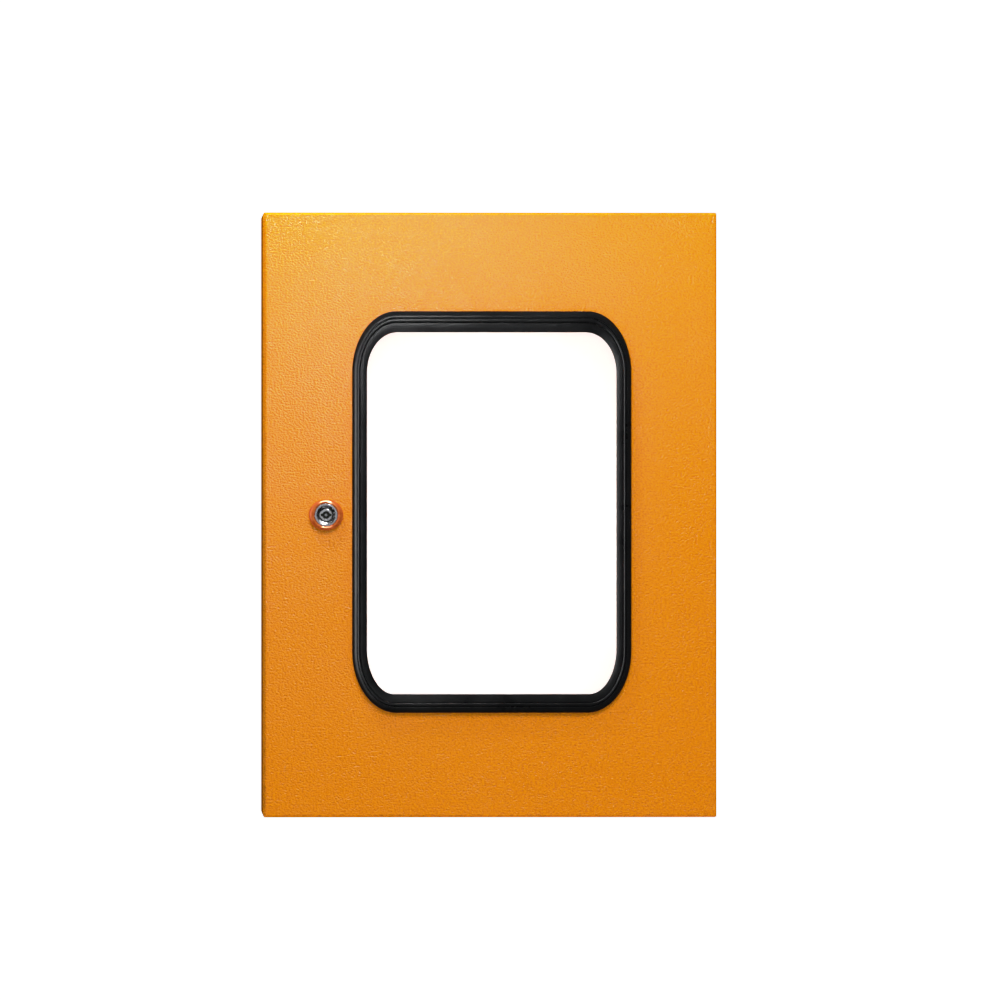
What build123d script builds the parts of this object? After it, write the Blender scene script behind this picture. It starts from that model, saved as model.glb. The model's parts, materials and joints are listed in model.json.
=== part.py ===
from build123d import *
import math
import os

# Glazed wall cabinet, in millimetres. The wall is the plane Y = 0, the front looks along -Y,
# +X is to the right seen from the front and +Z is up. The origin is the centre of the four
# wall-bolt holes on the back face. A depth is a distance in front of the wall, so a thing
# at depth d lies at Y = -d.

# Driving dimensions
cabinet_width = 450.0
cabinet_height = 600.0
cabinet_depth = 200.0
sheet = 1.5
running_gap = 0.3
thread_gap = 0.05
close_gap = 0.1
hole_gap = 0.2

# Nuts of the three thread sizes: width across flats, then height
nut_m4 = (7.0, 3.2)
nut_m5 = (8.0, 4.0)
nut_m6 = (10.0, 5.0)

# Cabinet body
body_front = 180.0
body_corner = 2.0
body_bend = 1.6
flange_width = 20.0
lip_front = 190.0
opening_corner = 6.0
wall_bolt_spacing_x = 380.0
wall_bolt_spacing_z = 530.0
wall_bolt_hole_r = 4.5

# Mounting plate and its fixings
plate_width = 350.0
plate_height = 500.0
plate_thickness = 2.0
plate_corner = 4.0
plate_stud_x = 160.0
plate_stud_z = 235.0
plate_stud_r = 3.0
plate_stud_end = 30.0
plate_hole_gap = 0.3
plate_edge_round = 0.4
plate_washer_r = 6.5
plate_washer_thickness = 1.6
spacer_length = 15.0
spacer_r = 6.0

# Gland plate in the bottom
gland_opening_x = 220.0
gland_opening_y = 90.0
gland_margin = 14.0
gland_corner = 6.0
gland_outer_corner = 8.0
gland_depth = 90.0
gland_gasket_thickness = 2.0
gland_plate_thickness = 2.0
gland_screw_r = 2.5
gland_head_flats = 8.0
gland_head_height = 3.2

# Earth points
earth_x = -150.0
earth_z = -275.0
earth_stud_r = 3.0
earth_stud_end = 22.0
earth_washer_r = 7.0
earth_washer_thickness = 1.2
door_earth_x = 0.0
door_earth_z = -245.0
door_earth_length = 16.0

# Door
door_margin = 1.5
door_rear = 183.0
door_corner = 2.2
door_bend = 2.0
gasket_width = 12.0
gasket_outer_corner = 12.0
gasket_inner_corner = 4.0
gasket_round = 2.0

# Window: outline 0 is the outer edge of the rubber seal, outline 1 the edge of the clear sight
seal_half_width = 138.3
seal_half_height = 198.8
seal_corner_top = (44.0, 61.0)
seal_corner_bottom = (43.0, 61.0)
seal_centre = (1.1, 2.9)
sight_half_width = 123.4
sight_half_height = 178.9
sight_corner_top = (30.0, 40.0)
sight_corner_bottom = (27.0, 45.0)
sight_centre = (0.8, 1.7)
cutout_outline = 0.40
pane_outline = 0.655
key_strip_outer = 0.32
key_strip_inner = 0.54
seal_front = 205.0
seal_rear = 193.5
seal_rear_outline = 0.08
seal_edge_round = 2.0
pane_rear = 197.0
pane_thickness = 4.0
key_strip_rear = 202.5
key_strip_front = 205.4
key_strip_edge_round = 0.8

# Stiffening rails on the door
rail_x = 189.5
rail_width = 13.0
rail_height = 11.5
rail_length = 524.0
rail_slot = (14.0, 5.0)
rail_slot_pitch = 26.0
rail_slot_count = 19
rail_stud_x = 190.2
rail_stud_z = 240.0
rail_stud_r = 2.5
rail_stud_length = 8.0

# Hinges
hinge_x = 218.0
hinge_depth = 191.5
hinge_level = 200.0
knuckle_r = 3.5
hinge_pin_r = 2.0
hinge_bore_r = 2.05
hinge_pin_tail = 2.5
hinge_pin_head_r = 3.2
hinge_pin_head_height = 1.6
hinge_groove_r = 1.5
hinge_groove_width = 0.9
hinge_groove_inset = 0.25
hinge_clip_r = 3.5
hinge_clip_bore_r = 1.52
hinge_clip_mouth = 2.4
hinge_clip_thickness = 0.8
body_knuckle_half = 15.0
door_knuckle_end = 30.0
leaf_thickness = 2.0
body_leaf_x = (206.0, 220.0)
door_leaf_x = (211.5, 220.4)
door_leaf_half = 42.0
hinge_screw_x = 210.2
hinge_screw_z = 9.0
hinge_screw_r = 2.0
hinge_screw_tail = 6.0
hinge_head_r = 3.5
hinge_head_height = 2.6
hinge_head_round = 1.2
hinge_stud_x = 216.5
hinge_stud_z = 36.0
notch_half = 17.0
notch_front = 196.0

# Lock
lock_x = -163.0
lock_z = 0.0
collar_half_width = 17.2
collar_half_height = 15.4
collar_rear = 200.5
collar_front = 204.6
collar_dome = 2.6
barrel_r = 11.0
barrel_flats = 20.4
barrel_rear = 182.0
recess_r = 11.8
recess_depth = 201.0
lock_pad_inset = 0.8
lock_washer_r = 14.5
lock_washer_thickness = 1.0
lock_nut_flats = 27.0
lock_nut_height = 4.0

# Lock insert. Its head is turned, and each pair is a radius and how far it lies below the front.
core_front = 204.0
core_head_rear = 201.1
core_rim = [(11.5, 0.5), (11.1, 0.0), (9.7, 0.0)]
core_dish = [(9.3, 0.5), (7.4, 1.2), (7.2, 2.0)]
core_hub = [(6.4, 2.0), (6.2, 0.9), (5.8, 0.7)]
core_edge_round = 0.15
core_shaft_r = 9.0
core_bore_r = 9.05
socket_r = 3.9
socket_wing_length = 10.8
socket_wing_height = 2.6
socket_floor = 192.0
key_pin_r = 1.5
key_pin_round = 0.6
key_pin_front = 202.9
key_pin_mark_r = 0.5
key_pin_mark_depth = 0.8
oring_groove = (186.0, 188.0)
oring_groove_r = 7.2
oring_r = 8.1
oring_wire_r = 0.85
circlip_groove = (180.55, 181.65)
circlip_groove_r = 8.2
circlip_r = 10.6
circlip_bore_r = 8.25
circlip_mouth = 5.0
circlip_rear = 180.6
circlip_thickness = 1.0

# Cam
cam_front = 178.2
cam_thickness = 3.0
cam_reach = 46.0
cam_width = 16.0
cam_end_round = 4.0
cam_hub_r = 10.0
cam_square = 8.0
cam_square_inset = 0.2
cam_screw_r = 2.5
cam_screw_bore_r = 2.52
cam_screw_end = 186.0
cam_screw_bore_end = 188.0
cam_screw_head_r = 4.6
cam_screw_head_height = 3.2
cam_screw_head_round = 1.2
cam_screw_socket = (4.0, 2.2)
cam_washer_r = 7.5
cam_washer_thickness = 1.0


# A flat shape drawn as seen from the front becomes a slab between two depths.
def slab(shape, rear, front):
    return extrude(Plane.XZ.offset(rear) * shape, front - rear)


# A flat shape drawn as seen from above becomes a column between two levels.
def column(shape, low, high):
    return extrude(Plane.XY.offset(low) * shape, high - low)


# A flat shape drawn in Y and Z becomes a bar between two places along X.
def crossbar(shape, left, right):
    return extrude(Plane.YZ.offset(left) * shape, right - left)


# A rectangle from its two edges in each direction.
def span(left, right, low, high):
    return Pos((left + right) / 2, (low + high) / 2) * Rectangle(right - left, high - low)


# A flat ring between two flat shapes.
def ring(outer, inner):
    return outer - inner


def hexagon(across_flats):
    return RegularPolygon(across_flats / math.sqrt(3), 6)


def nut_shape(size, stud_r):
    return ring(hexagon(size[0]), Circle(stud_r + thread_gap))


def four_corners(half_x, half_z):
    return [(sx * half_x, sz * half_z) for sx in (-1, 1) for sz in (-1, 1)]


# One slab for each place, kept as separate solids.
def slabs(places, shape, rear, front):
    return Compound([slab(Pos(x, z) * shape, rear, front).solid() for x, z in places])


def save(name, shape):
    export_step(shape, os.path.join("parts", name + ".step"))


# Half sizes of the front opening, inside the rain lip
opening_half_x = cabinet_width / 2 - flange_width - sheet
opening_half_z = cabinet_height / 2 - flange_width - sheet
door_skin_rear = cabinet_depth - sheet
plate_rear = sheet + spacer_length
plate_front = plate_rear + plate_thickness
hinge_levels = (hinge_level, -hinge_level)
rail_stud_places = four_corners(rail_stud_x, rail_stud_z)
lock_place = (lock_x, lock_z)


# ---- Cabinet ----

def gland_screw_places():
    half_x = gland_opening_x / 2 + gland_margin / 2
    half_y = gland_opening_y / 2 + gland_margin / 2
    return [(x, -gland_depth + sy * half_y) for x in (-half_x, 0, half_x) for sy in (-1, 1)]


def body_shell():
    inner_width = cabinet_width - 2 * sheet
    inner_height = cabinet_height - 2 * sheet
    shell = slab(RectangleRounded(cabinet_width, cabinet_height, body_corner), 0, body_front)
    shell = fillet(shell.edges().group_by(Axis.Y)[0], body_bend)
    hollow = RectangleRounded(inner_width, inner_height, body_corner - sheet)
    shell -= slab(hollow, 0, body_front - sheet)
    opening = RectangleRounded(2 * opening_half_x, 2 * opening_half_z, opening_corner)
    shell -= slab(opening, 0, body_front)
    lip_half_x = opening_half_x + sheet
    lip_half_z = opening_half_z + sheet
    lip = RectangleRounded(2 * lip_half_x, 2 * lip_half_z, opening_corner + sheet)
    shell += slab(ring(lip, opening), body_front - sheet, lip_front)
    floor_low = -cabinet_height / 2
    gland = Pos(0, -gland_depth) * gland_opening()
    shell -= column(gland, floor_low, floor_low + sheet)
    for x, y in gland_screw_places():
        shell -= column(Pos(x, y) * Circle(gland_screw_r), floor_low, floor_low + sheet)
    for level in hinge_levels:
        for side in (-1, 1):
            place = Pos(hinge_screw_x, level + side * hinge_screw_z)
            shell -= slab(place * Circle(hinge_screw_r), body_front - sheet, body_front)
    return shell


def rear_panel():
    outline = RectangleRounded(cabinet_width - 2 * sheet, cabinet_height - 2 * sheet, body_corner - sheet)
    panel = slab(outline, 0, sheet)
    for x, z in four_corners(wall_bolt_spacing_x / 2, wall_bolt_spacing_z / 2):
        panel -= slab(Pos(x, z) * Circle(wall_bolt_hole_r), 0, sheet)
    return panel


def mounting_plate():
    plate = slab(RectangleRounded(plate_width, plate_height, plate_corner), plate_rear, plate_front)
    for x, z in four_corners(plate_stud_x, plate_stud_z):
        plate -= slab(Pos(x, z) * Circle(plate_stud_r + plate_hole_gap), plate_rear, plate_front)
    return fillet(plate.edges().group_by(Axis.Y)[0], plate_edge_round)


def save_plate_fixings():
    places = four_corners(plate_stud_x, plate_stud_z)
    spacer = ring(Circle(spacer_r), Circle(plate_stud_r + hole_gap))
    washer = ring(Circle(plate_washer_r), Circle(plate_stud_r + hole_gap))
    nut = nut_shape(nut_m6, plate_stud_r)
    washer_front = plate_front + plate_washer_thickness
    save("plate_studs", slabs(places, Circle(plate_stud_r), sheet, plate_stud_end))
    save("plate_spacers", slabs(places, spacer, sheet, plate_rear))
    save("plate_washers", slabs(places, washer, plate_front, washer_front))
    save("plate_nuts", slabs(places, nut, washer_front, washer_front + nut_m6[1]))


def gland_opening():
    return RectangleRounded(gland_opening_x, gland_opening_y, gland_corner)


def gland_outline():
    edge = 2 * gland_margin
    return RectangleRounded(gland_opening_x + edge, gland_opening_y + edge, gland_outer_corner)


def gland_parts():
    gasket_low = -cabinet_height / 2 + sheet
    plate_low = gasket_low + gland_gasket_thickness
    plate_high = plate_low + gland_plate_thickness
    gasket = column(Pos(0, -gland_depth) * ring(gland_outline(), gland_opening()), gasket_low, plate_low)
    plate = column(Pos(0, -gland_depth) * gland_outline(), plate_low, plate_high)
    screws = []
    for x, y in gland_screw_places():
        gasket -= column(Pos(x, y) * Circle(gland_screw_r + close_gap), gasket_low, plate_low)
        plate -= column(Pos(x, y) * Circle(gland_screw_r + close_gap), plate_low, plate_high)
        head = column(Pos(x, y) * hexagon(gland_head_flats), plate_high, plate_high + gland_head_height)
        shank = column(Pos(x, y) * Circle(gland_screw_r), gasket_low - sheet, plate_high)
        screws.append((head + shank).solid())
    return plate, gasket, Compound(screws)


def save_earth_point():
    place = Pos(earth_x, earth_z)
    washer = ring(Circle(earth_washer_r), Circle(earth_stud_r + hole_gap))
    washer_front = sheet + earth_washer_thickness
    nut = nut_shape(nut_m6, earth_stud_r)
    save("earth_stud", slab(place * Circle(earth_stud_r), sheet, earth_stud_end))
    save("earth_washer", slab(place * washer, sheet, washer_front))
    save("earth_nut", slab(place * nut, washer_front, washer_front + nut_m6[1]))


# ---- Hinges ----

def knuckle():
    return Pos(hinge_x, -hinge_depth) * Circle(knuckle_r)


# The web stands on the left half of the knuckle only, out of the door flange's way.
def hinge_body_leaf(level):
    base_front = body_front + leaf_thickness
    web = span(hinge_x - knuckle_r, hinge_x, -hinge_depth, -base_front)
    base = span(body_leaf_x[0], body_leaf_x[1], -base_front, -body_front)
    leaf = column(knuckle() + web + base, level - body_knuckle_half, level + body_knuckle_half)
    bore = Pos(hinge_x, -hinge_depth) * Circle(hinge_bore_r)
    leaf -= column(bore, level - body_knuckle_half, level + body_knuckle_half)
    for side in (-1, 1):
        place = Pos(hinge_screw_x, level + side * hinge_screw_z)
        leaf -= slab(place * Circle(hinge_screw_r + close_gap), body_front, base_front)
    return leaf


def hinge_door_leaf(level):
    base_rear = door_skin_rear - leaf_thickness
    base = span(door_leaf_x[0], door_leaf_x[1], -door_skin_rear, -base_rear)
    leaf = column(base, level - door_leaf_half, level + door_leaf_half)
    web = span(hinge_x - knuckle_r, hinge_x + knuckle_r, -base_rear, -hinge_depth)
    bore = Pos(hinge_x, -hinge_depth) * Circle(hinge_bore_r)
    door_knuckle_start = body_knuckle_half + running_gap
    for low, high in ((door_knuckle_start, door_knuckle_end), (-door_knuckle_end, -door_knuckle_start)):
        leaf += column(knuckle() + web - bore, level + low, level + high)
    for side in (-1, 1):
        place = Pos(hinge_stud_x, level + side * hinge_stud_z)
        leaf -= slab(place * Circle(hinge_screw_r + close_gap), base_rear, door_skin_rear)
    return leaf


def hinge_pin(level):
    centre = Pos(hinge_x, -hinge_depth)
    head_low = level + door_knuckle_end + running_gap
    groove_high = level - door_knuckle_end - hinge_groove_inset
    groove = centre * ring(Circle(hinge_pin_head_r), Circle(hinge_groove_r))
    pin = column(centre * Circle(hinge_pin_r), level - door_knuckle_end - hinge_pin_tail, head_low)
    pin += column(centre * Circle(hinge_pin_head_r), head_low, head_low + hinge_pin_head_height)
    pin -= column(groove, groove_high - hinge_groove_width, groove_high)
    return pin


def hinge_pin_clip(level):
    centre = Pos(hinge_x, -hinge_depth)
    mouth = span(-hinge_clip_mouth / 2, hinge_clip_mouth / 2, -2 * hinge_clip_r, 0)
    shape = ring(Circle(hinge_clip_r), Circle(hinge_clip_bore_r)) - mouth
    high = level - door_knuckle_end - running_gap
    return column(centre * shape, high - hinge_clip_thickness, high)


# Two places at each hinge, one above and one below its middle.
def pairs_at(x, offset):
    return [(x, level + side * offset) for level in hinge_levels for side in (-1, 1)]


def save_hinges():
    for name, level in (("hinge_upper", hinge_level), ("hinge_lower", -hinge_level)):
        save(name + "_body_leaf", hinge_body_leaf(level))
        save(name + "_door_leaf", hinge_door_leaf(level))
        save(name + "_pin", hinge_pin(level))
    save("hinge_pin_clips", Compound([hinge_pin_clip(level).solid() for level in hinge_levels]))
    screw_places = pairs_at(hinge_screw_x, hinge_screw_z)
    base_front = body_front + leaf_thickness
    screws = []
    for x, z in screw_places:
        head = slab(Pos(x, z) * Circle(hinge_head_r), base_front, base_front + hinge_head_height)
        head = fillet(head.edges().group_by(Axis.Y)[0], hinge_head_round)
        shank = slab(Pos(x, z) * Circle(hinge_screw_r), body_front - hinge_screw_tail, base_front)
        screws.append((head + shank).solid())
    save("hinge_body_screws", Compound(screws))
    stud_places = pairs_at(hinge_stud_x, hinge_stud_z)
    base_rear = door_skin_rear - leaf_thickness
    nut = nut_shape(nut_m4, hinge_screw_r)
    stud_rear = base_rear - hinge_screw_tail
    save("hinge_door_studs", slabs(stud_places, Circle(hinge_screw_r), stud_rear, door_skin_rear))
    save("hinge_door_nuts", slabs(stud_places, nut, base_rear - nut_m4[1], base_rear))


# ---- Window ----

def between(outer, inner, share):
    return outer + (inner - outer) * share


# The outline of the window is straight sides joined by quarter ellipses. Its share runs from
# 0 at the seal's outer edge to 1 at the edge of the clear sight.
def window_outline(share):
    half_width = between(seal_half_width, sight_half_width, share)
    half_height = between(seal_half_height, sight_half_height, share)
    top = [between(seal_corner_top[i], sight_corner_top[i], share) for i in range(2)]
    bottom = [between(seal_corner_bottom[i], sight_corner_bottom[i], share) for i in range(2)]
    centre = [between(seal_centre[i], sight_centre[i], share) for i in range(2)]
    quarters = ((1, 1, top, 0), (-1, 1, top, 90), (-1, -1, bottom, 180), (1, -1, bottom, 270))
    arcs = []
    for side_x, side_z, corner, start in quarters:
        middle_x = centre[0] + side_x * (half_width - corner[0])
        middle_z = centre[1] + side_z * (half_height - corner[1])
        arcs.append(EllipticalCenterArc((middle_x, middle_z), *corner, start, arc_size=90))
    sides = [Line(arcs[i] @ 1, arcs[(i + 1) % 4] @ 0) for i in range(4)]
    return make_face(arcs + sides)


def window_ring(outer_share, inner_share):
    return ring(window_outline(outer_share), window_outline(inner_share))


def window_pane():
    return slab(window_outline(pane_outline), pane_rear, pane_rear + pane_thickness)


def window_seal():
    front = slab(window_ring(0, 1), cabinet_depth, seal_front)
    front = fillet(front.edges().group_by(Axis.Y)[0], seal_edge_round)
    neck = slab(window_ring(cutout_outline, 1), door_skin_rear, cabinet_depth)
    rear = slab(window_ring(seal_rear_outline, 1), seal_rear, door_skin_rear)
    groove = slab(window_ring(key_strip_outer, key_strip_inner), key_strip_rear, seal_front)
    return front + neck + rear - groove - window_pane()


def seal_key_strip():
    strip = slab(window_ring(key_strip_outer, key_strip_inner), key_strip_rear, key_strip_front)
    return fillet(strip.edges().group_by(Axis.Y)[0], key_strip_edge_round)


# ---- Door ----

def lock_barrel(clearance):
    return Circle(barrel_r + clearance) & Rectangle(barrel_flats + 2 * clearance, 4 * barrel_r)


def door_panel():
    width = cabinet_width - 2 * door_margin
    height = cabinet_height - 2 * door_margin
    pan = slab(RectangleRounded(width, height, door_corner), door_rear, cabinet_depth)
    pan = fillet(pan.edges().group_by(Axis.Y)[0], door_bend)
    hollow = RectangleRounded(width - 2 * sheet, height - 2 * sheet, door_corner - sheet)
    inside = slab(hollow, door_rear, door_skin_rear)
    pan -= fillet(inside.edges().group_by(Axis.Y)[0], door_bend - sheet)
    pan -= slab(window_outline(cutout_outline), door_skin_rear, cabinet_depth)
    pan -= slab(Pos(*lock_place) * lock_barrel(hole_gap), door_skin_rear, cabinet_depth)
    for level in hinge_levels:
        notch = span(width / 2 - 2 * sheet, width / 2 + sheet, -notch_front, -door_rear)
        pan -= column(notch, level - notch_half, level + notch_half)
    return pan


def door_gasket():
    middle_x = opening_half_x + sheet / 2
    middle_z = opening_half_z + sheet / 2
    edge = gasket_width
    outer = RectangleRounded(2 * middle_x + edge, 2 * middle_z + edge, gasket_outer_corner)
    inner = RectangleRounded(2 * middle_x - edge, 2 * middle_z - edge, gasket_inner_corner)
    gasket = slab(ring(outer, inner), lip_front + running_gap, door_skin_rear)
    return fillet(gasket.edges().group_by(Axis.Y)[-1], gasket_round)


# An angle section: a leg flat on the door skin and an upstand with slots for cable ties.
def door_rail(side):
    outer = side * (rail_x + rail_width / 2)
    inner = side * (rail_x - rail_width / 2)
    low, high = min(outer, inner), max(outer, inner)
    leg = slab(Rectangle(rail_width, rail_length), door_skin_rear - sheet, door_skin_rear)
    rail = Pos(side * rail_x, 0, 0) * leg
    upstand_left = low if side > 0 else high - sheet
    upstand = span(upstand_left, upstand_left + sheet, -rail_length / 2, rail_length / 2)
    rail += slab(upstand, door_skin_rear - rail_height, door_skin_rear)
    slot_y = -(door_skin_rear - rail_height / 2 - sheet)
    for i in range(rail_slot_count):
        z = (i - (rail_slot_count - 1) / 2) * rail_slot_pitch
        slot = Pos(slot_y, z) * SlotOverall(rail_slot[0], rail_slot[1], 90)
        rail -= crossbar(slot, upstand_left, upstand_left + sheet)
    for x, z in rail_stud_places:
        rail -= slab(Pos(x, z) * Circle(rail_stud_r + hole_gap), door_skin_rear - sheet, door_skin_rear)
    return rail


def save_door_fixings():
    rail_front = door_skin_rear - sheet
    stud_rear = rail_front - rail_stud_length
    nut = nut_shape(nut_m5, rail_stud_r)
    save("door_rail_studs", slabs(rail_stud_places, Circle(rail_stud_r), stud_rear, door_skin_rear))
    save("door_rail_nuts", slabs(rail_stud_places, nut, rail_front - nut_m5[1], rail_front))
    earth = Pos(door_earth_x, door_earth_z)
    earth_nut = nut_shape(nut_m6, earth_stud_r)
    earth_rear = door_skin_rear - door_earth_length
    save("door_earth_stud", slab(earth * Circle(earth_stud_r), earth_rear, door_skin_rear))
    save("door_earth_nut", slab(earth * earth_nut, door_skin_rear - nut_m6[1], door_skin_rear))


# ---- Lock ----

def lock_housing():
    collar = slab(Ellipse(collar_half_width, collar_half_height), collar_rear, collar_front)
    collar = fillet(collar.edges().group_by(Axis.Y)[0], collar_dome)
    housing = collar + slab(lock_barrel(0), barrel_rear, collar_rear)
    housing -= slab(Circle(core_bore_r), barrel_rear, recess_depth)
    housing -= slab(Circle(recess_r), recess_depth, collar_front)
    return Pos(lock_x, 0, lock_z) * housing


def save_lock_fixings():
    place = Pos(*lock_place)
    pad_outline = Ellipse(collar_half_width - lock_pad_inset, collar_half_height - lock_pad_inset)
    pad = ring(pad_outline, Circle(barrel_r + hole_gap))
    washer = ring(Circle(lock_washer_r), Circle(barrel_r + close_gap))
    nut = ring(hexagon(lock_nut_flats), Circle(barrel_r + thread_gap))
    washer_rear = door_skin_rear - lock_washer_thickness
    save("lock_gasket", slab(place * pad, cabinet_depth, collar_rear))
    save("lock_washer", slab(place * washer, washer_rear, door_skin_rear))
    save("lock_nut", slab(place * nut, washer_rear - lock_nut_height, washer_rear))


# The head from its rear up over the rim, down the dish to the groove, and up to the hub.
def lock_core_head():
    rear = core_front - core_head_rear
    profile = core_rim + core_dish + core_hub
    outline = [(profile[0][0], rear)] + profile + [(0, profile[-1][1]), (0, rear)]
    face = make_face(Polyline(*[(radius, below - core_front) for radius, below in outline], close=True))
    edges = [v for v in face.vertices() if v.X > socket_r and v.Y < rear - core_front - core_edge_round]
    return revolve(fillet(edges, core_edge_round), Axis.Y)


# The insert: a turned head, a socket with two wings for a double-bit key, a centre pin, a
# shaft with grooves for an O-ring and a circlip, and a square end for the cam.
def lock_core():
    core = lock_core_head() + slab(Circle(core_shaft_r), cam_front, core_head_rear)
    cam_rear = cam_front - cam_thickness
    core += slab(Rectangle(cam_square, cam_square), cam_rear + cam_square_inset, cam_front)
    socket = Circle(socket_r) + Rectangle(socket_wing_length, socket_wing_height)
    core -= slab(socket, socket_floor, core_front)
    pin = slab(Circle(key_pin_r), socket_floor, key_pin_front)
    pin = fillet(pin.edges().group_by(Axis.Y)[0], key_pin_round)
    core += pin - slab(Circle(key_pin_mark_r), key_pin_front - key_pin_mark_depth, key_pin_front)
    core -= slab(ring(Circle(barrel_r), Circle(oring_groove_r)), *oring_groove)
    core -= slab(ring(Circle(barrel_r), Circle(circlip_groove_r)), *circlip_groove)
    core -= slab(Circle(cam_screw_bore_r), cam_rear, cam_screw_bore_end)
    return Pos(lock_x, 0, lock_z) * core


def core_oring():
    middle = (oring_groove[0] + oring_groove[1]) / 2
    return Pos(lock_x, -middle, lock_z) * Rot(90, 0, 0) * Torus(oring_r, oring_wire_r)


def lock_circlip():
    mouth = span(-circlip_mouth / 2, circlip_mouth / 2, 0, 2 * circlip_r)
    clip = ring(Circle(circlip_r), Circle(circlip_bore_r)) - mouth
    return slab(Pos(*lock_place) * clip, circlip_rear, circlip_rear + circlip_thickness)


def lock_cam():
    arm = span(-cam_width / 2, cam_width / 2, -cam_reach, 0)
    arm = fillet(arm.vertices().group_by(Axis.Y)[0], cam_end_round)
    square = Rectangle(cam_square + close_gap, cam_square + close_gap)
    cam = slab(arm + Circle(cam_hub_r) - square, cam_front - cam_thickness, cam_front)
    return Pos(lock_x, 0, lock_z) * cam


def cam_washer():
    front = cam_front - cam_thickness
    washer = ring(Circle(cam_washer_r), Circle(cam_screw_r + hole_gap))
    return slab(Pos(*lock_place) * washer, front - cam_washer_thickness, front)


def cam_screw():
    head_front = cam_front - cam_thickness - cam_washer_thickness
    head_rear = head_front - cam_screw_head_height
    flats, depth = cam_screw_socket
    head = slab(Circle(cam_screw_head_r), head_rear, head_front)
    head = fillet(head.edges().group_by(Axis.Y)[-1], cam_screw_head_round)
    screw = head + slab(Circle(cam_screw_r), head_front, cam_screw_end)
    screw -= slab(hexagon(flats), head_rear, head_rear + depth)
    return Pos(lock_x, 0, lock_z) * screw


os.makedirs("parts", exist_ok=True)

save("body_shell", body_shell())
save("rear_panel", rear_panel())
save("mounting_plate", mounting_plate())
save_plate_fixings()
plate, gasket, screws = gland_parts()
save("gland_plate", plate)
save("gland_gasket", gasket)
save("gland_screws", screws)
save_earth_point()
save_hinges()
save("door_panel", door_panel())
save("door_gasket", door_gasket())
save("window_pane", window_pane())
save("window_seal", window_seal())
save("seal_key_strip", seal_key_strip())
save("door_rail_left", door_rail(-1))
save("door_rail_right", door_rail(1))
save_door_fixings()
save("lock_housing", lock_housing())
save_lock_fixings()
save("lock_core", lock_core())
save("core_oring", core_oring())
save("lock_circlip", lock_circlip())
save("lock_cam", lock_cam())
save("cam_washer", cam_washer())
save("cam_screw", cam_screw())
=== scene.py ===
import json
import math

import bpy
import numpy as np
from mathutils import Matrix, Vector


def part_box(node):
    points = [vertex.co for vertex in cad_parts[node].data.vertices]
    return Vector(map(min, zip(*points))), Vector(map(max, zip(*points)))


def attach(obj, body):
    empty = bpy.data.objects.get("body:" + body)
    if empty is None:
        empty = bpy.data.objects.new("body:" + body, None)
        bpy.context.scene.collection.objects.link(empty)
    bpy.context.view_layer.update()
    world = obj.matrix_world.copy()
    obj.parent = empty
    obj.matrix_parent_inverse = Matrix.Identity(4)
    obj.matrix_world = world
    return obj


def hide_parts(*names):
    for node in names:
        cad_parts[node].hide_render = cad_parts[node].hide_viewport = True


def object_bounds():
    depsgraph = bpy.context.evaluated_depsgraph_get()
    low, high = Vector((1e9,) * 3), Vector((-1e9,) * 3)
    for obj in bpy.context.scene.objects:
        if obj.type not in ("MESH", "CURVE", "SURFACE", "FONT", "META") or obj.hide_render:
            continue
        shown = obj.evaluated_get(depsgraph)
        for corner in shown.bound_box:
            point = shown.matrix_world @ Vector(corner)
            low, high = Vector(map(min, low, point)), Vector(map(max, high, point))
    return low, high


# Glazed wall cabinet: orange textured steel, a window held by a rubber seal, one insert lock.
# Metres, wall at y = 0, the door looks along -y.

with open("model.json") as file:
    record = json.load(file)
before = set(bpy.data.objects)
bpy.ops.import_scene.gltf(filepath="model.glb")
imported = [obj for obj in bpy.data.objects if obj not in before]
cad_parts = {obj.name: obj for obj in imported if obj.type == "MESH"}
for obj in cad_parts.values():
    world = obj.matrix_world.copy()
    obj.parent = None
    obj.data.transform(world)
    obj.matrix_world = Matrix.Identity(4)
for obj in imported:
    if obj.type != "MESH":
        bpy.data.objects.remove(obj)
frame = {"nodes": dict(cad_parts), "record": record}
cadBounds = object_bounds()
nodes = frame["nodes"]
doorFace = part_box("door_panel")[0][1]  # y of the door's front face
print("frame loaded:", len(nodes), "nodes")

sharpAngle = 38  # degrees between two faces past which their edge stays sharp


def closedGrid(name, points):  # quads between neighbours of points[i, j], which wraps round both ways
    rows, cols = points.shape[:2]
    index = np.arange(rows * cols).reshape(rows, cols)
    down = np.roll(index, -1, axis=0)
    faces = np.stack([index, np.roll(index, -1, axis=1), np.roll(down, -1, axis=1), down], axis=-1)
    faces = faces.reshape(-1, 4)
    flat = points.reshape(-1, 3)
    corners = flat[faces]
    # six times the volume, from each quad's two triangles: negative means the faces look inwards
    volume = np.einsum("ij,ij->i", corners[:, 0], np.cross(corners[:, 1], corners[:, 2])).sum()
    volume += np.einsum("ij,ij->i", corners[:, 0], np.cross(corners[:, 2], corners[:, 3])).sum()
    if volume < 0:
        faces = faces[:, ::-1]
    mesh = bpy.data.meshes.new(name)
    mesh.from_pydata(flat.tolist(), [], faces.tolist())
    mesh.shade_smooth()
    mesh.set_sharp_from_angle(angle=math.radians(sharpAngle))
    mesh.update()
    piece = bpy.data.objects.new(name, mesh)
    bpy.context.scene.collection.objects.link(piece)
    return piece


def rounded(samples):  # quarter turn from 0 to 1, as sine and 1 - cosine
    turn = np.linspace(0, math.pi / 2, samples)
    return np.sin(turn), 1 - np.cos(turn)


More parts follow.
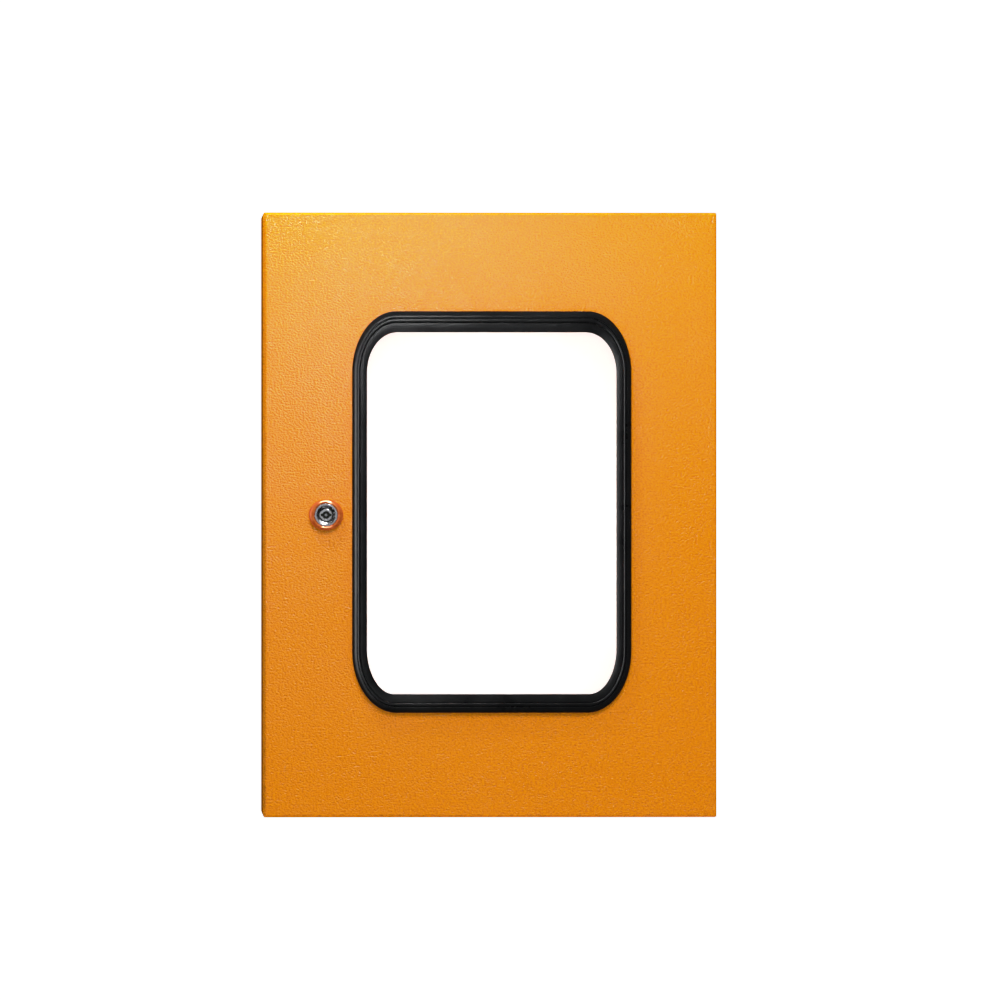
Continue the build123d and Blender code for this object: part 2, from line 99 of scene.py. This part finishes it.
windowLook = {
    "sideLimb": 0.0149,      # rubber seen at each side of the window
    "topLimb": 0.0211,
    "bottomLimb": 0.0187,
    "outerCorner": (0.0435, 0.061),  # half width and half height of each corner's ellipse
    "sightCornerTop": (0.030, 0.040),
    "sightCornerBottom": (0.027, 0.045),
    "cornerSteps": 28,
}


def windowOutlines():  # outer and sight outline, each straight sides joined by quarter ellipses
    low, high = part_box("window_seal")
    outer = [low[0], high[0], low[2], high[2]]
    sight = [low[0] + windowLook["sideLimb"], high[0] - windowLook["sideLimb"],
             low[2] + windowLook["bottomLimb"], high[2] - windowLook["topLimb"]]
    loops = []
    for edges, top, bottom in ((outer, windowLook["outerCorner"], windowLook["outerCorner"]),
                               (sight, windowLook["sightCornerTop"], windowLook["sightCornerBottom"])):
        left, right, floor, head = edges
        turn = np.linspace(0, math.pi / 2, windowLook["cornerSteps"])
        corners = []
        for quarter, (a, b), cx, cz in ((0, top, right, head), (1, top, left, head),
                                        (2, bottom, left, floor), (3, bottom, right, floor)):
            angle = turn + quarter * math.pi / 2
            mx = cx - math.copysign(a, cx - (left + right) / 2)
            mz = cz - math.copysign(b, cz - (floor + head) / 2)
            corners.append(np.stack([mx + a * np.cos(angle), mz + b * np.sin(angle)], axis=1))
        loops.append(np.concatenate(corners))
    return loops


# profile point = outer outline + share of the way to the sight outline, at a height off the door
def carriedProfile(name, shares, heights):
    outer, sight = windowOutlines()
    shares = np.asarray(shares)[None, :, None]
    flat = outer[:, None, :] * (1 - shares) + sight[:, None, :] * shares
    y = np.broadcast_to(doorFace - np.asarray(heights)[None, :], flat.shape[:2])
    return closedGrid(name, np.stack([flat[..., 0], y, flat[..., 1]], axis=-1))


sealLook = {                 # shares of the limb's width, and heights off the door's face
    "edgeHeight": 0.0006,    # where the bead leaves the door
    "beadHeight": 0.0049,
    "beadShare": 0.30,
    "beadFall": (0.018, 0.0022),
    "groove": ((0.322, 0.0026), (0.538, 0.0026), (0.545, 0.0030)),
    "lipHeight": 0.0037,
    "lipShare": (0.56, 0.40),  # where the lip starts, and how wide it is
    "lipFall": 0.0009,
    "sightHeight": 0.0010,   # where the lip meets the pane
    "paneGroove": ((0.66, 0.0010), (0.66, -0.0030)),
    "rearLip": ((1.0, -0.0030), (1.0, -0.0050), (0.93, -0.0060), (0.60, -0.0065), (0.20, -0.0064),
                (0.10, -0.0058), (0.08, -0.0046), (0.08, -0.0015)),
    "doorGroove": ((0.40, -0.0015), (0.40, 0.0), (0.0, 0.0)),
    "roundSteps": 9,
    "lipSteps": 8,
}


def windowSeal():  # outer bead = quarter ellipse up, then a short fall; lip = parabola down, then a roll
    rise, run = rounded(sealLook["roundSteps"])
    edge, bead = sealLook["edgeHeight"], sealLook["beadHeight"]
    beadShare = sealLook["beadShare"]
    fallShare, fall = sealLook["beadFall"]
    shares = list(beadShare * run) + list(beadShare + fallShare * rise[1:])
    heights = list(edge + (bead - edge) * rise) + list(bead - fall * run[1:])
    for share, height in sealLook["groove"]:
        shares.append(share)
        heights.append(height)
    lipStart, lipWidth = sealLook["lipShare"]
    lipEnd, lipFoot = lipStart + lipWidth, sealLook["lipHeight"] - sealLook["lipFall"]
    across = np.linspace(0, 1, sealLook["lipSteps"])
    shares += list(lipStart + lipWidth * across) + list(lipEnd + (1 - lipEnd) * rise[1:])
    heights += list(sealLook["lipHeight"] - sealLook["lipFall"] * across ** 2)
    heights += list(lipFoot - (lipFoot - sealLook["sightHeight"]) * run[1:])
    for share, height in sealLook["paneGroove"] + sealLook["rearLip"] + sealLook["doorGroove"]:
        shares.append(share)
        heights.append(height)
    piece = carriedProfile("rubberSeal", shares, heights)
    piece.data.materials.append(materials["black_rubber"])
    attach(piece, "door")
    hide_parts("window_seal")
    return piece


stripLook = {
    "middle": 0.43,          # shares of the limb's width
    "half": 0.104,
    "shoulder": 0.0042,      # heights off the door's face
    "crown": 0.0010,
    "foot": 0.0027,
    "steps": 15,
}


def keyStrip():  # half ellipse from shoulder to shoulder, straight down to a flat foot
    angle = np.linspace(0, math.pi, stripLook["steps"])
    middle, half, foot = stripLook["middle"], stripLook["half"], stripLook["foot"]
    shares = list(middle - half * np.cos(angle)) + [middle + half, middle - half]
    heights = list(stripLook["shoulder"] + stripLook["crown"] * np.sin(angle)) + [foot, foot]
    piece = carriedProfile("sealStrip", shares, heights)
    piece.data.materials.append(materials["black_rubber"])
    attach(piece, "door")
    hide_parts("seal_key_strip")
    return piece


lockLook = {
    "collarHalf": (0.0172, 0.0154),
    "collarEdge": 0.0009,    # height of the collar's upright rim
    "collarTop": 0.0046,
    "collarCrown": 0.0127,   # radius where the collar stands highest
    "crownFall": 0.0009,     # from the crown to the recess's edge
    "recess": 0.0118,
    "recessFloor": 0.0010,
    "barrel": 0.0110,
    "barrelFlat": 0.0102,
    "bore": 0.00905,
    "underside": 0.0005,
    "turns": 96,
    "roundSteps": 10,
}


def lockCollar():  # turned profile: the rim is an ellipse, the crown a circle, the barrel has two flats
    low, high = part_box("lock_housing")
    cx, cz = (low[0] + high[0]) / 2, (low[2] + high[2]) / 2
    angle = np.linspace(0, 2 * math.pi, lockLook["turns"], endpoint=False)[:, None]
    a, b = lockLook["collarHalf"]
    ellipse = a * b / np.sqrt((b * np.cos(angle)) ** 2 + (a * np.sin(angle)) ** 2)
    nearly = 1e-6  # keeps the flats' formula from dividing by nothing
    flats = lockLook["barrelFlat"] / np.maximum(np.abs(np.cos(angle)), nearly)
    flats = np.minimum(lockLook["barrel"], flats)
    top, crown, recess, bore = (lockLook[key] for key in ("collarTop", "collarCrown", "recess", "bore"))
    edge, underside = lockLook["collarEdge"], lockLook["underside"]
    rise, run = rounded(lockLook["roundSteps"])
    # from the rim up over the crown, down the inner edge, then recess, bore, barrel and underside
    rims = [ellipse - (ellipse - crown) * share for share in run]
    lifts = list(edge + (top - edge) * rise)
    inner = crown - (crown - recess) * rise[1:]
    rims += [np.full_like(angle, radius) for radius in inner]
    lifts += list(top - lockLook["crownFall"] * run[1:])
    rims += [np.full_like(angle, radius) for radius in (recess, bore, bore)]
    lifts += [lockLook["recessFloor"], lockLook["recessFloor"], doorFace - high[1]]
    rims += [flats, flats, ellipse]
    lifts += [doorFace - high[1], underside, underside]
    radius = np.concatenate(rims, axis=1)
    y = np.broadcast_to(doorFace - np.array(lifts)[None, :], radius.shape)
    points = np.stack([cx + radius * np.cos(angle), y, cz + radius * np.sin(angle)], axis=-1)
    piece = closedGrid("lockCollar", points)
    piece.data.materials.append(materials["collar_lacquer"])
    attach(piece, "door")
    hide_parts("lock_housing")
    return piece


# plain colour and roughness hold where no nodes take their place
def newMaterial(name, plainColour, plainRoughness, metallic=0.0):
    mat = bpy.data.materials.new(name)
    mat.use_nodes = True
    shader = mat.node_tree.nodes["Principled BSDF"]
    shader.inputs["Base Color"].default_value = plainColour
    shader.inputs["Roughness"].default_value = plainRoughness
    shader.inputs["Metallic"].default_value = metallic
    return mat, mat.node_tree, shader


def addNode(tree, kind, **values):
    node = tree.nodes.new(kind)
    for key, value in values.items():
        if key in node.inputs:
            node.inputs[key].default_value = value
        else:
            setattr(node, key, value)
    return node


def objectNoise(tree, scale, detail=3.0, stretch=(1, 1, 1)):
    place = addNode(tree, "ShaderNodeTexCoord")
    turn = addNode(tree, "ShaderNodeMapping", Scale=stretch)
    noise = addNode(tree, "ShaderNodeTexNoise", Scale=scale, Detail=detail, Roughness=0.55)
    tree.links.new(place.outputs["Object"], turn.inputs["Vector"])
    tree.links.new(turn.outputs["Vector"], noise.inputs["Vector"])
    return noise


def spread(tree, source, low, high, fromLow=0.3, fromHigh=0.7):  # the middle of a noise to low..high
    node = addNode(tree, "ShaderNodeMapRange")
    for key, value in (("From Min", fromLow), ("From Max", fromHigh), ("To Min", low), ("To Max", high)):
        node.inputs[key].default_value = value
    tree.links.new(source, node.inputs["Value"])
    return node.outputs["Result"]


def addBump(tree, shader, source, strength, depth):
    bump = addNode(tree, "ShaderNodeBump", Strength=strength, Distance=depth)
    tree.links.new(source, bump.inputs["Height"])
    tree.links.new(bump.outputs["Normal"], shader.inputs["Normal"])


def blendColours(tree, shader, source, first, second):
    mix = addNode(tree, "ShaderNodeMix", data_type="RGBA")
    mix.inputs[6].default_value = first
    mix.inputs[7].default_value = second
    tree.links.new(source, mix.inputs[0])
    tree.links.new(mix.outputs[2], shader.inputs["Base Color"])


paintLook = {
    "peak": (0.82, 0.276, 0.0005, 1),
    # painted shade: colour given to the valleys between pebbles
    "paintedShadeValley": (0.60, 0.163, 0.0005, 1),
    "plainRoughness": 0.3,
    "grain": 540,            # pebbles to the metre
    "pebble": (0.85, 1, 1.1),  # stretch of the pebbles along each axis
    "roughness": (0.12, 0.24),
    "bump": 1.0,
    "depth": 0.0014,
    "gloss": 0.28,
}


def orangePaint():  # leathery powder coat: fine pebbles, rougher in the valleys, with painted shade darkening the valleys
    mat, tree, shader = newMaterial("orangePaint", paintLook["peak"], paintLook["plainRoughness"])
    pebbles = objectNoise(tree, paintLook["grain"], detail=1.5, stretch=paintLook["pebble"])
    height = spread(tree, pebbles.outputs["Fac"], 0, 1)
    # painted shade: the low valleys between pebbles take the darker colour
    blendColours(tree, shader, height, paintLook["paintedShadeValley"], paintLook["peak"])
    low, high = paintLook["roughness"]
    tree.links.new(spread(tree, pebbles.outputs["Fac"], high, low), shader.inputs["Roughness"])
    addBump(tree, shader, pebbles.outputs["Fac"], paintLook["bump"], paintLook["depth"])
    shader.inputs["Specular IOR Level"].default_value = paintLook["gloss"]
    return mat


collarLook = {
    "plain": (0.80, 0.17, 0.02, 1),
    "light": (0.82, 0.20, 0.03, 1),
    "dark": (0.62, 0.10, 0.015, 1),
    "metallic": 0.5,
    "plainRoughness": 0.16,
    "roughness": (0.10, 0.20),
    "grain": 260,
    "bump": 0.15,
    "depth": 0.0002,
    "coat": (0.8, 0.12),     # weight and roughness of the clear coat
}


def collarLacquer():  # glossy lacquer over the collar's casting, redder and darker in its low places
    mat, tree, shader = newMaterial("collarLacquer", collarLook["plain"],
                                    collarLook["plainRoughness"], collarLook["metallic"])
    swell = objectNoise(tree, collarLook["grain"], detail=3)
    height = spread(tree, swell.outputs["Fac"], 0, 1)
    blendColours(tree, shader, height, collarLook["light"], collarLook["dark"])
    low, high = collarLook["roughness"]
    tree.links.new(spread(tree, swell.outputs["Fac"], low, high), shader.inputs["Roughness"])
    addBump(tree, shader, swell.outputs["Fac"], collarLook["bump"], collarLook["depth"])
    coat, coatRoughness = collarLook["coat"]
    shader.inputs["Coat Weight"].default_value = coat
    shader.inputs["Coat Roughness"].default_value = coatRoughness
    return mat


plateLook = {
    "light": (0.88, 0.88, 0.87, 1),
    "dark": (0.85, 0.85, 0.85, 1),
    "roughness": 0.45,
    "grain": 600,
    "swell": 6,
    "bump": 0.12,
    "depth": 0.0002,
}


def whitePaint():  # smooth coat on the mounting plate: fine orange peel over a slow change of tone
    mat, tree, shader = newMaterial("whitePaint", plateLook["light"], plateLook["roughness"])
    grain = objectNoise(tree, plateLook["grain"], detail=2)
    addBump(tree, shader, grain.outputs["Fac"], plateLook["bump"], plateLook["depth"])
    swell = objectNoise(tree, plateLook["swell"], detail=3)
    height = spread(tree, swell.outputs["Fac"], 0, 1)
    blendColours(tree, shader, height, plateLook["light"], plateLook["dark"])
    return mat


rubberLook = {
    "plain": (0.007, 0.007, 0.008, 1),
    "cleanUnshaded": (0.0040, 0.0042, 0.0045, 1),
    "dusty": (0.0065, 0.0067, 0.0072, 1),
    "plainRoughness": 0.36,
    "roughness": (0.26, 0.36),
    "dust": 35,
    "grain": 900,
    "bump": 0.10,
    "depth": 0.0001,
    "gloss": 0.05,
}


def blackRubber():  # satin extrusion: broad patches of dust, and a fine grain in the surface
    mat, tree, shader = newMaterial("blackRubber", rubberLook["plain"], rubberLook["plainRoughness"])
    dust = objectNoise(tree, rubberLook["dust"], detail=4)
    grain = objectNoise(tree, rubberLook["grain"], detail=2)
    patches = spread(tree, dust.outputs["Fac"], 0, 1)
    blendColours(tree, shader, patches, rubberLook["cleanUnshaded"], rubberLook["dusty"])
    low, high = rubberLook["roughness"]
    tree.links.new(spread(tree, dust.outputs["Fac"], low, high), shader.inputs["Roughness"])
    addBump(tree, shader, grain.outputs["Fac"], rubberLook["bump"], rubberLook["depth"])
    shader.inputs["Specular IOR Level"].default_value = rubberLook["gloss"]
    return mat


foamLook = {
    "plain": (0.035, 0.035, 0.037, 1),
    # painted shade: colour of each cell's hollow middle
    "middle": (0.028, 0.028, 0.030, 1),
    "wall": (0.050, 0.050, 0.052, 1),
    "roughness": 0.85,
    "cells": 900,
    "bump": 0.4,
    "depth": 0.0003,
}


def foamGasket():  # closed cells, higher away from each cell's middle, with painted shade darkening each cell's hollow middle
    mat, tree, shader = newMaterial("foamGasket", foamLook["plain"], foamLook["roughness"])
    cells = addNode(tree, "ShaderNodeTexVoronoi", Scale=foamLook["cells"])
    place = addNode(tree, "ShaderNodeTexCoord")
    tree.links.new(place.outputs["Object"], cells.inputs["Vector"])
    # painted shade: darker towards each cell's low middle, paler on the higher walls
    blendColours(tree, shader, cells.outputs["Distance"], foamLook["middle"], foamLook["wall"])
    addBump(tree, shader, cells.outputs["Distance"], foamLook["bump"], foamLook["depth"])
    return mat


paneLook = {"colour": (0.93, 0.96, 0.96, 1), "roughness": 0.04, "alpha": 0.10, "index": 1.49}


def clearPane():  # clear glazing, mostly see-through
    mat, _, shader = newMaterial("clearPane", paneLook["colour"], paneLook["roughness"])
    shader.inputs["Alpha"].default_value = paneLook["alpha"]
    shader.inputs["IOR"].default_value = paneLook["index"]
    return mat


metalLook = {                # light and dark tone, roughness, stretch of the streaks, streaks to the metre
    "zincPlate": ((0.66, 0.68, 0.70, 1), (0.52, 0.54, 0.57, 1), 0.32, (1, 1, 0.3), 260),
    "turnedSteel": ((0.42, 0.42, 0.43, 1), (0.30, 0.30, 0.31, 1), 0.34, (1, 1, 0.2), 400),
    "lockChrome": ((0.74, 0.74, 0.77, 1), (0.60, 0.60, 0.63, 1), 0.21, (1, 1, 1), 500),
    "earthBrass": ((0.72, 0.50, 0.20, 1), (0.58, 0.38, 0.14, 1), 0.28, (1, 1, 1), 300),
}
metalSpread = (0.07, 0.09)   # how far the roughness goes below and above its value
metalBump, metalDepth = 0.08, 0.0001


def plainMetal(name):  # drawn or plated metal: fine streaks along one way
    light, dark, roughness, stretch, scale = metalLook[name]
    mat, tree, shader = newMaterial(name, light, roughness, 1.0)
    streaks = objectNoise(tree, scale, detail=3, stretch=stretch)
    blendColours(tree, shader, spread(tree, streaks.outputs["Fac"], 0, 1), light, dark)
    below, above = metalSpread
    varied = spread(tree, streaks.outputs["Fac"], roughness - below, roughness + above)
    tree.links.new(varied, shader.inputs["Roughness"])
    addBump(tree, shader, streaks.outputs["Fac"], metalBump, metalDepth)
    return mat, tree, shader


# painted shade: dark colour for the lock's deep parts behind the dish
paintedRecessShade = {
    "colour": (0.05, 0.052, 0.045, 1),
    "depths": (-0.0028, -0.0021),  # y from the door's face where the painted shade starts and where it is full
}


def lockChrome():  # bright casting, with painted shade where it lies deeper than the dish
    mat, tree, shader = plainMetal("lockChrome")
    place = addNode(tree, "ShaderNodeTexCoord")
    axes = addNode(tree, "ShaderNodeSeparateXYZ")
    tree.links.new(place.outputs["Object"], axes.inputs["Vector"])
    start, full = paintedRecessShade["depths"]
    # painted shade: the deeper the casting lies, the darker its colour
    depth = spread(tree, axes.outputs["Y"], 0, 1, doorFace + start, doorFace + full)
    cleanUnshaded = shader.inputs["Base Color"].links[0].from_socket
    mix = addNode(tree, "ShaderNodeMix", data_type="RGBA")
    mix.inputs[7].default_value = paintedRecessShade["colour"]
    tree.links.new(depth, mix.inputs[0])
    tree.links.new(cleanUnshaded, mix.inputs[6])
    tree.links.new(mix.outputs[2], shader.inputs["Base Color"])
    return mat


materials = {
    "orange_paint": orangePaint(),
    "white_paint": whitePaint(),
    "black_rubber": blackRubber(),
    "foam_gasket": foamGasket(),
    "clear_pane": clearPane(),
    "zinc_steel": plainMetal("zincPlate")[0],
    "hinge_steel": plainMetal("turnedSteel")[0],
    "collar_lacquer": collarLacquer(),
    "lock_chrome": lockChrome(),
    "earth_brass": plainMetal("earthBrass")[0],
}

for part in frame["record"]["subparts"]:
    for place in nodes[part["node"]].material_slots:
        place.material = materials[part["material_slot"]]
print("materials:", len(materials))

seal = windowSeal()
strip = keyStrip()
collar = lockCollar()
print("pieces made")

studioLook = {
    "floorHalf": 1.4,
    "floorDrop": 0.30,       # floor below the cabinet, which hangs
    "floorColour": (0.90, 0.90, 0.89, 1),
    "floorRoughness": 0.7,
    "distance": 11.0,
    "lens": 400,
    "turn": 1.9,             # degrees to the left of straight ahead
    "aim": (0.0092, 0.0148),
    "worldLight": 0.34,
    "worldGloss": 0.06,
    "worldSeen": 1.7,
    "white": 1.6,            # brightness that shows as pure white
    "film": ((0.40, 0.40), (0.77, 0.77), (1.03, 0.85), (1.30, 0.88)),
}


def studioFloor():
    half, z = studioLook["floorHalf"], cadBounds[0][2] - studioLook["floorDrop"]
    mesh = bpy.data.meshes.new("studioFloor")
    corners = [(-half, -half, z), (half, -half, z), (half, half, z), (-half, half, z)]
    mesh.from_pydata(corners, [], [(0, 1, 2, 3)])
    floor = bpy.data.objects.new("studioFloor", mesh)
    bpy.context.scene.collection.objects.link(floor)
    mat = newMaterial("paleFloor", studioLook["floorColour"], studioLook["floorRoughness"])[0]
    mesh.materials.append(mat)
    floor.visible_glossy = False


def aimAt(obj, target):
    way = np.array(target) - np.array(obj.location)
    obj.rotation_euler = (math.acos(-way[2] / np.linalg.norm(way)), 0, math.atan2(-way[0], way[1]))


def softLight(name, place, target, size, power, seenBy, only=()):
    lamp = bpy.data.lights.new(name, "AREA")
    lamp.shape = "RECTANGLE"
    lamp.size, lamp.size_y = size
    lamp.energy = power
    obj = bpy.data.objects.new(name, lamp)
    bpy.context.scene.collection.objects.link(obj)
    obj.location = place
    aimAt(obj, target)
    obj.visible_camera = False
    obj.visible_glossy = seenBy != "matt"
    obj.visible_diffuse = seenBy != "gloss"
    if only:  # this lamp lights these pieces alone
        lit = bpy.data.collections.new(name + "Lit")
        for piece in only:
            lit.objects.link(piece)
        obj.light_linking.receiver_collection = lit


def studioWorld():  # white to look at, softer as a light, and dimmest on what a reflection shows
    world = bpy.data.worlds.new("studioWorld")
    bpy.context.scene.world = world
    world.cycles_visibility.glossy = False
    world.use_nodes = True
    tree = world.node_tree
    tree.nodes.clear()
    path = addNode(tree, "ShaderNodeLightPath")
    sky = [addNode(tree, "ShaderNodeBackground", Color=(1, 1, 1, 1), Strength=studioLook[key])
           for key in ("worldLight", "worldGloss", "worldSeen")]
    shader = sky[0].outputs["Background"]
    for ray, other in (("Is Glossy Ray", sky[1]), ("Is Camera Ray", sky[2])):
        mix = addNode(tree, "ShaderNodeMixShader")
        tree.links.new(path.outputs[ray], mix.inputs["Fac"])
        tree.links.new(shader, mix.inputs[1])
        tree.links.new(other.outputs["Background"], mix.inputs[2])
        shader = mix.outputs["Shader"]
    out = addNode(tree, "ShaderNodeOutputWorld")
    tree.links.new(shader, out.inputs["Surface"])


def filmCurve():  # strong light bends over below white, as on film
    view = bpy.context.scene.view_settings
    view.view_transform = "Standard"
    view.look = "None"
    view.use_curve_mapping = True
    film = view.curve_mapping
    white = studioLook["white"]
    film.white_level = (white, white, white)
    curve = film.curves[3]
    for light, shown in studioLook["film"]:
        curve.points.new(light / white, shown)
    film.update()


def studioCamera():
    camera = bpy.data.cameras.new("studioCamera")
    camera.lens = studioLook["lens"]
    camera.sensor_width = 36
    camera.clip_end = 100
    obj = bpy.data.objects.new("studioCamera", camera)
    bpy.context.scene.collection.objects.link(obj)
    turn = math.radians(studioLook["turn"])
    target = np.array([studioLook["aim"][0], doorFace, studioLook["aim"][1]])
    obj.location = target + studioLook["distance"] * np.array([-math.sin(turn), -math.cos(turn), 0])
    aimAt(obj, target)
    bpy.context.scene.camera = obj


# place, what it faces, width and height, watts, whether matt or glossy surfaces see it
studioLights = {
    "grazeLight": ((-0.36, doorFace - 0.17, 0.78), (-0.10, doorFace, 0.10), (0.09, 0.09), 5.9, "matt"),
    "topLight": ((0.1, -1.0, 1.0), (0.05, doorFace, 0), (1.2, 0.4), 18, "matt"),
    "insideLight": ((0, doorFace + 0.014, 0), (0, 0, 0), (0.34, 0.50), 2.1, "matt"),
    "backLight": ((0.5, 1.6, 0.7), (0, 0, 0), (1.2, 1.2), 26, "matt"),
    "rightLight": ((1.6, 0.15, 0.3), (0, 0, 0), (0.8, 0.8), 7, "matt"),
    "sheenCard": ((-0.085, doorFace - 0.40, 0.25), (-0.10, doorFace, 0.23), (0.06, 0.06), 2.8, "gloss"),
    "leftCard": ((-1.6, -0.9, 0.1), (0, doorFace, 0), (0.9, 1.6), 5, "gloss"),
    "headCard": ((0, -0.8, 1.5), (0, doorFace, 0), (1.2, 0.8), 2, "gloss"),
    "lockCard": ((-0.15, doorFace - 0.35, 0.02), (-0.163, doorFace, 0), (0.16, 0.16), 0.03, "gloss"),
    "footCard": ((-0.2, -0.8, -0.9), (0, doorFace, 0), (1.2, 0.5), 0.5, "gloss"),
    "sealCard": ((-0.42, doorFace - 0.55, 0), (-0.13, doorFace, 0), (0.40, 0.42), 23, "gloss"),
    "collarCard": ((-0.2, -0.75, 0.9), (-0.163, doorFace, 0), (0.7, 0.45), 30, "gloss"),
}
litAlone = {"sealCard": (seal, strip), "collarCard": (collar,)}

studioFloor()
studioWorld()
studioCamera()
filmCurve()
for name, values in studioLights.items():
    softLight(name, *values, litAlone.get(name, ()))
print("studio ready")
